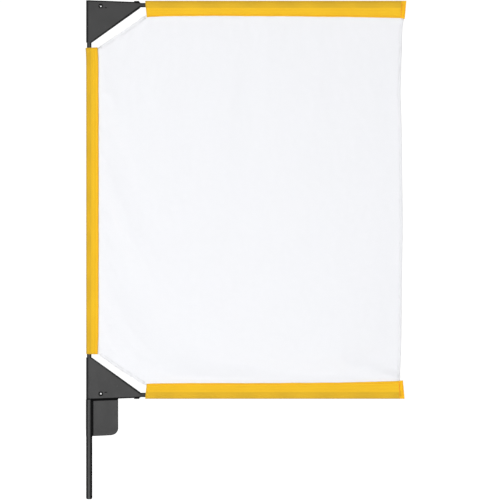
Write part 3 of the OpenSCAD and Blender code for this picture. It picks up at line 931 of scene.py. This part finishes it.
lay = add(tree, "UVMap", uv_map="Weave").outputs["UV"]
yarn = add(tree, "ShaderNodeGroup", node_tree=cloth_weave)
tree.links.new(lay, yarn.inputs["Along and across"])
colour = mixed(tree, yarn.outputs["Tone"], (0.885, 0.890, 0.915, 1), (0.93, 0.935, 0.955, 1))
colour = mixed(tree, times(tree, yarn.outputs["Slub"], 0.25), colour, (0.86, 0.865, 0.90, 1))
wire(tree, shader, {
    "Base Color": colour,
    "Normal": yarn.outputs["Normal"],
    "Roughness": 0.9,
    "Specular IOR Level": 0.15,
})
glow = add(tree, "BsdfTranslucent", {"Color": (0.90, 0.91, 0.94, 1)})
through = add(tree, "MixShader", {0: 0.16, 1: shader.outputs[0], 2: glow.outputs[0]})
tree.links.new(through.outputs[0], tree.nodes["Material Output"].inputs["Surface"])


def settle(points, faces, held, frames=26, growth=0.0011):
    """Lets a cloth of those points find its own lie between held edges, a hair too big for them."""
    mesh = bpy.data.meshes.new("Settling cloth")
    mesh.from_pydata([tuple(p) for p in points], [], faces)
    trial = bpy.data.objects.new("Settling cloth", mesh)
    bpy.context.scene.collection.objects.link(trial)
    pins = trial.vertex_groups.new(name="Held")
    pins.add([int(i) for i in np.flatnonzero(held)], 1.0, "REPLACE")
    modifier = trial.modifiers.new("Cloth", "CLOTH")
    cloth = modifier.settings
    cloth.vertex_group_mass = "Held"
    cloth.quality, cloth.mass = 6, 0.02
    cloth.tension_stiffness = cloth.compression_stiffness = 22
    cloth.shear_stiffness, cloth.bending_stiffness = 9, 0.35
    cloth.shrink_min = -growth
    modifier.collision_settings.use_collision = False
    modifier.point_cache.frame_start, modifier.point_cache.frame_end = 1, frames
    scene = bpy.context.scene
    for f in range(1, frames + 1):
        scene.frame_set(f)
    moved = trial.evaluated_get(bpy.context.evaluated_depsgraph_get()).to_mesh()
    result = np.empty(len(points) * 3)
    moved.vertices.foreach_get("co", result)
    scene.frame_set(1)
    bpy.data.objects.remove(trial)
    bpy.data.meshes.remove(mesh)
    return result.reshape(-1, 3)


pick = np.random.default_rng(5)
xs, zs = flat_cut[:, 0], flat_cut[:, 2]
row_of = np.repeat(np.arange(rows), columns)
in_sleeve = (xs >= start_x + 1 * MM) & ((row_of <= 1) | (row_of >= rows - 2))
held = in_sleeve | (xs <= seam_x + 0.2 * MM)
start = flat_cut.copy()
start[:, 1] += np.where(held, 0, pick.normal(0, 0.25 * MM, len(start)))
lie_of_cloth = settle(start, cloth_faces, held)

# Puckers that the sewing itself draws: short and level by the upright, and along the cut corners
from_seam = np.clip(lie_of_cloth[:, 0] - seam_x, 0, None)
puckers = np.zeros(len(start))
for at, strong in ((0.957, 1.0), (0.913, 0.7), (0.85, 1.6), (0.815, 0.9), (0.49, 0.7), (0.37, 0.9),
                   (0.27, 1.1), (0.2, 0.8), (0.64, 0.5)):
    z = rod_span[0] + at * (rod_span[1] - rod_span[0])
    spread = 3.2 * MM + 0.16 * from_seam
    puckers += strong * np.exp(-((zs - z - 0.05 * from_seam) / spread) ** 2) * np.exp(-from_seam / 0.026)
slack_line = np.minimum(zs - cut_ends(xs)[0], cut_ends(xs)[1] - zs)
cut_zone = np.clip(1 - (xs - start_x) / 0.03, 0, 1) * np.exp(-slack_line / 0.016)
puckers += 0.55 * cut_zone * np.sin((xs - seam_x) / (5.2 * MM) + 0.5 * np.sin(xs * 190))
ramp = np.clip(from_seam / (5 * MM), 0, 1)
held_low, held_high = cut_ends(xs)[0] + held_from(xs)[0], cut_ends(xs)[1] - held_from(xs)[1]
loose = np.clip(np.minimum(zs - held_low, held_high - zs) / (6 * MM), 0, 1)
lie_of_cloth[:, 1] += -0.9 * MM * puckers * ramp * np.where(xs > start_x, loose, 1)
lie_of_cloth[:, 1] = np.clip(lie_of_cloth[:, 1], -9 * MM, 9 * MM)

panel = new_piece("diffusion_cloth", lie_of_cloth, cloth_faces, silk, "frame",
                  uv=flat_cut[:, [0, 2]])
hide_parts("cloth_panel")

# ---- Hems ----
# The three edges that no sleeve holds are turned twice and sewn with white thread: one long hem
# down the free side and a short one across each cut corner. The turned edge is three layers thick.

white_thread = sewing_thread("White thread", (0.84, 0.85, 0.87, 1), (0.94, 0.94, 0.96, 1), 0.65)


def turned_hem(name, rim, inner, width, node):
    """A folded strip over an edge: rim are points along it, inner the points beside them in the cloth."""
    way = np.gradient(rim, axis=0)
    way /= np.linalg.norm(way, axis=1)[:, None]
    inward = inner - rim
    inward -= way * (inward * way).sum(1)[:, None]
    inward /= np.linalg.norm(inward, axis=1)[:, None]
    across = np.cross(way, inward)
    across *= np.sign(across[:, 1])[:, None]
    profile = [(width, -0.20), (0.66 * width, -0.26), (0.25 * width, -0.30), (-0.05 * width, -0.26),
               (-0.12 * width, 0.0)]
    profile += [(a, -b) for a, b in profile[-2::-1]]
    points, uv = [], []
    walked = np.concatenate([[0], np.cumsum(np.linalg.norm(np.diff(rim, axis=0), axis=1))])
    for i in range(len(rim)):
        crimp = 1 + 0.10 * math.sin(i * 2.1) + 0.06 * math.sin(i * 0.7 + 1)
        for k, (a, b) in enumerate(profile):
            points.append(rim[i] + inward[i] * a + across[i] * b * MM * crimp)
            uv.append((walked[i], k * 0.9 * MM))
    hem = new_piece(name, points, grid_faces(len(rim), len(profile)), silk, "frame", uv=uv)
    thicken(hem, 0.22 * MM)
    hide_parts(node)
    seams = []
    total = walked[-1]
    pitch = 2.6 * MM
    for k in range(int((total - 2 * MM) / pitch)):
        ends = []
        for s in (1 * MM + k * pitch, 1 * MM + (k + 0.85) * pitch):
            j = min(np.searchsorted(walked, s), len(rim) - 1)
            t = (s - walked[j - 1]) / (walked[j] - walked[j - 1])
            ends.append((j, t))
        for f in (-1, 1):
            a, b = ((1 - t) * (rim[j - 1] + inward[j - 1] * 0.7 * width + across[j - 1] * f * 0.40 * MM)
                    + t * (rim[j] + inward[j] * 0.7 * width + across[j] * f * 0.40 * MM) for j, t in ends)
            seams.append((a, b, across[ends[0][0]] * f))
    sewing = stitch_mesh(f"{name}_stitching", seams, 0.17 * MM, white_thread, "frame")
    return hem, sewing


settled = lie_of_cloth.reshape(rows, columns, 3)
first_row = flat_cut.reshape(rows, columns, 3)[0, :, 0]
cut_columns = [c for c in range(columns) if seam_x <= first_row[c] <= start_x]
hem_width = hem_high.x - hem_low.x
hems = [
    turned_hem("free_edge_hem", settled[1:-1, -1], settled[1:-1, -3], hem_width, "free_hem"),
    turned_hem("lower_corner_hem", settled[0, cut_columns], settled[2, cut_columns],
               hem_width, "lower_hem"),
    turned_hem("upper_corner_hem", settled[-1, cut_columns], settled[-3, cut_columns],
               hem_width, "upper_hem"),
]

# The cloth's edges go with the sleeves, and what lies between them gathers in pleats to the front
gather, put, out = make_group(
    "Cloth gather",
    [("Geometry", "Geometry", None), ("Upper arm", "Object", None), ("Lower arm", "Object", None),
     ("Upper axis", "Float", 0.7), ("Lower axis", "Float", 0.1), ("Depth", "Float", 18 * MM),
     ("Rod edge", "Float", 14 * MM), ("Sleeve start", "Float", 87 * MM), ("Pleats", "Float", 7.0),
     ("Foot", "Float", 0.1), ("Top", "Float", 0.7)],
    [("Geometry", "Geometry")], "GeometryNodeTree",
)


def between(tree, share, a, b):
    """The vector a turning to b with share."""
    return add(tree, "Mix", {0: share, 4: a, 5: b}, data_type="VECTOR").outputs[1]


spot = add(gather, "GeometryNodeInputPosition").outputs[0]
x, y, z = (add(gather, "SeparateXYZ", {0: spot}).outputs[k] for k in range(3))
top = minus(gather, put["Upper axis"], put["Depth"])
foot = plus(gather, put["Lower axis"], put["Depth"])
span = minus(gather, top, foot)
rise = calc(gather, "DIVIDE", minus(gather, z, foot), span)
rise = calc(gather, "MINIMUM", calc(gather, "MAXIMUM", rise, 0.0), 1.0)
edges = []
for arm, axis_socket, sign, past in (
    ("Upper arm", "Upper axis", -1.0, minus(gather, z, top)),
    ("Lower arm", "Lower axis", 1.0, minus(gather, foot, z)),
):
    fold = add(gather, "GeometryNodeGroup", {}, node_tree=share)
    gather.links.new(put[arm], fold.inputs["Arm"])
    deep = minus(gather, put["Depth"], calc(gather, "MAXIMUM", past, 0.0))
    angle = times(gather, fold.outputs["Share"], math.pi / 2)
    forward = times(gather, deep, calc(gather, "SINE", angle))
    down = times(gather, times(gather, deep, calc(gather, "COSINE", angle)), sign)
    sewn = add(gather, "CombineXYZ", {"X": x, "Y": times(gather, forward, -1.0),
                                      "Z": plus(gather, put[axis_socket], down)})
    spun = add(gather, "FunctionNodeRotateVector",
               {"Vector": sewn.outputs[0], "Rotation": fold.outputs["Rotation"]})
    edges.append(add(gather, "VectorMath", {0: spun.outputs[0], 1: fold.outputs["Location"]},
                     operation="ADD").outputs[0])
upper_edge, lower_edge = edges
ruled = between(gather, rise, lower_edge, upper_edge)
apart = add(gather, "VectorMath", {0: upper_edge, 1: lower_edge}, operation="DISTANCE").outputs["Value"]
spare = minus(gather, times(gather, span, span), times(gather, apart, apart))
spare = calc(gather, "SQRT", calc(gather, "MAXIMUM", spare, 0.0))
pleat = calc(gather, "DIVIDE", spare, times(gather, put["Pleats"], 4.0))
phase = times(gather, times(gather, rise, put["Pleats"]), two_pi)
front = times(gather, minus(gather, calc(gather, "COSINE", phase), 1.0), pleat)
aside = times(gather, times(gather, calc(gather, "SINE", phase), pleat), 0.35)
push = add(gather, "CombineXYZ", {"X": aside, "Y": plus(gather, front, y)})
gathered = add(gather, "VectorMath", {0: ruled, 1: push.outputs[0]}, operation="ADD").outputs[0]
taken = ease(gather, x, put["Rod edge"], put["Sleeve start"])
turn = add(gather, "GeometryNodeGroup", {}, node_tree=rod_turn)
for label in ("Upper arm", "Lower arm", "Foot", "Top"):
    gather.links.new(put[label], turn.inputs[label])
by_rod = add(gather, "VectorRotate", {"Vector": spot, "Axis": (0, 0, 1), "Angle": turn.outputs["Angle"]})
final = between(gather, taken, by_rod.outputs[0], gathered)
moved = add(gather, "GeometryNodeSetPosition", {"Geometry": put["Geometry"], "Position": final})
gather.links.new(moved.outputs[0], out["Geometry"])

pleats = 7.0
cloth_thick = 0.25 * MM
flap_depth = sleeve_depth["lower"] + 3.7 * MM
for piece in [panel, *(x for pair in hems for x in pair)]:
    follow(piece, gather, upper_axis=axis["upper"], lower_axis=axis["lower"], depth=flap_depth,
           rod_edge=seam_x, sleeve_start=start_x, pleats=pleats, **rod_arms)
    piece.modifiers.move(len(piece.modifiers) - 1, 0)
thicken(panel, cloth_thick)
flat_size = (float(np.ptp(flat_cut[:, 0])), float(np.ptp(flat_cut[:, 2])))
[x for pair in hems for x in pair]

# ---- Studio ----
# A seamless pale floor well below the held frame, one broad soft light straight in front and a
# little to the left, a second one behind that shines through the cloth, and a pale room whose
# sides are hung with black, which darkens the flanks of the satin steel; painted shade in the
# coats darkens them further.

size = cad_size[1] - cad_size[0]
middle = (cad_size[0] + cad_size[1]) / 2

world = bpy.data.worlds.new("Studio")
bpy.context.scene.world = world
world.use_nodes = True
tree = world.node_tree
sky = tree.nodes["Background"]
toward = add(tree, "SeparateXYZ", {0: add(tree, "TexCoord").outputs["Generated"]})
near = plus(tree, times(tree, toward.outputs["Y"], -1.0),
            times(tree, toward.outputs["Z"], 0.35))
ahead = ease(tree, near, 0.45, 0.90, (0.0, 0.55))
behind = ease(tree, toward.outputs["Y"], 0.45, 0.90, (0.0, 0.55))
above = ease(tree, toward.outputs["Z"], 0.55, 0.95, (0.0, 0.50))
lit = plus(tree, plus(tree, ahead, behind), plus(tree, above, 0.10))
seen = add(tree, "LightPath").outputs["Is Camera Ray"]
strength = add(tree, "Mix", {0: seen, 2: lit, 3: 1.05}, data_type="FLOAT").outputs[0]
tree.links.new(strength, sky.inputs["Strength"])
sky.inputs["Color"].default_value = (1.0, 1.0, 1.0, 1)

floor_drop = 0.75
floor_z = cad_size[0].z - floor_drop
mesh = bpy.data.meshes.new("Floor")
floor_radius = 9
ring = [(middle.x + floor_radius * math.cos(a), floor_radius * math.sin(a), floor_z)
        for a in np.linspace(0, 2 * math.pi, 97)[:-1]]
mesh.from_pydata(ring, [], [tuple(range(len(ring)))])
floor = bpy.data.objects.new("Floor", mesh)
bpy.context.scene.collection.objects.link(floor)
paper, tree, shader = new_material("Pale floor")
place = add(tree, "TexCoord").outputs["Object"]
mottle = add(tree, "TexNoise", {"Vector": place, "Scale": 3.0, "Detail": 5.0})
wire(tree, shader, {
    "Base Color": mixed(tree, mottle.outputs["Fac"], (0.86, 0.86, 0.86, 1), (0.88, 0.88, 0.88, 1)),
    "Roughness": 0.9,
    "Specular IOR Level": 0.0,
    "Emission Color": (1, 1, 1, 1),
})
seen = add(tree, "LightPath").outputs["Is Camera Ray"]
tree.links.new(times(tree, seen, 0.75), shader.inputs["Emission Strength"])
mesh.materials.append(paper)

for name, power, way in (("Softbox", 44.5, (-0.5, -2.6, -0.05)), ("Back softbox", 34.0, (0.7, 2.6, 0.5))):
    lamp = bpy.data.lights.new(name, "AREA")
    lamp.shape, lamp.size, lamp.size_y, lamp.energy = "RECTANGLE", 2.2, 2.0, power
    softbox = bpy.data.objects.new(name, lamp)
    bpy.context.scene.collection.objects.link(softbox)
    softbox.location = middle + Vector(way)
    softbox.rotation_euler = (-Vector(way)).to_track_quat("-Z", "Y").to_euler()
    softbox.visible_camera = False

# The camera looks straight at the cloth from far off, a little to the free side of the middle
lens = bpy.data.cameras.new("Camera")
lens.sensor_width, lens.lens = 36.0, 135.0
camera = bpy.data.objects.new("Camera", lens)
bpy.context.scene.collection.objects.link(camera)
bpy.context.scene.camera = camera
wide = size.z * 1.0033
away = wide * lens.lens / lens.sensor_width
camera.location = (middle.x + 6.6 * MM, middle.y - away, middle.z - 0.4 * MM)
camera.rotation_euler = (math.pi / 2, 0, 0)
lens.clip_start, lens.clip_end = 0.1, 40
bpy.context.scene.view_settings.view_transform = "Standard"
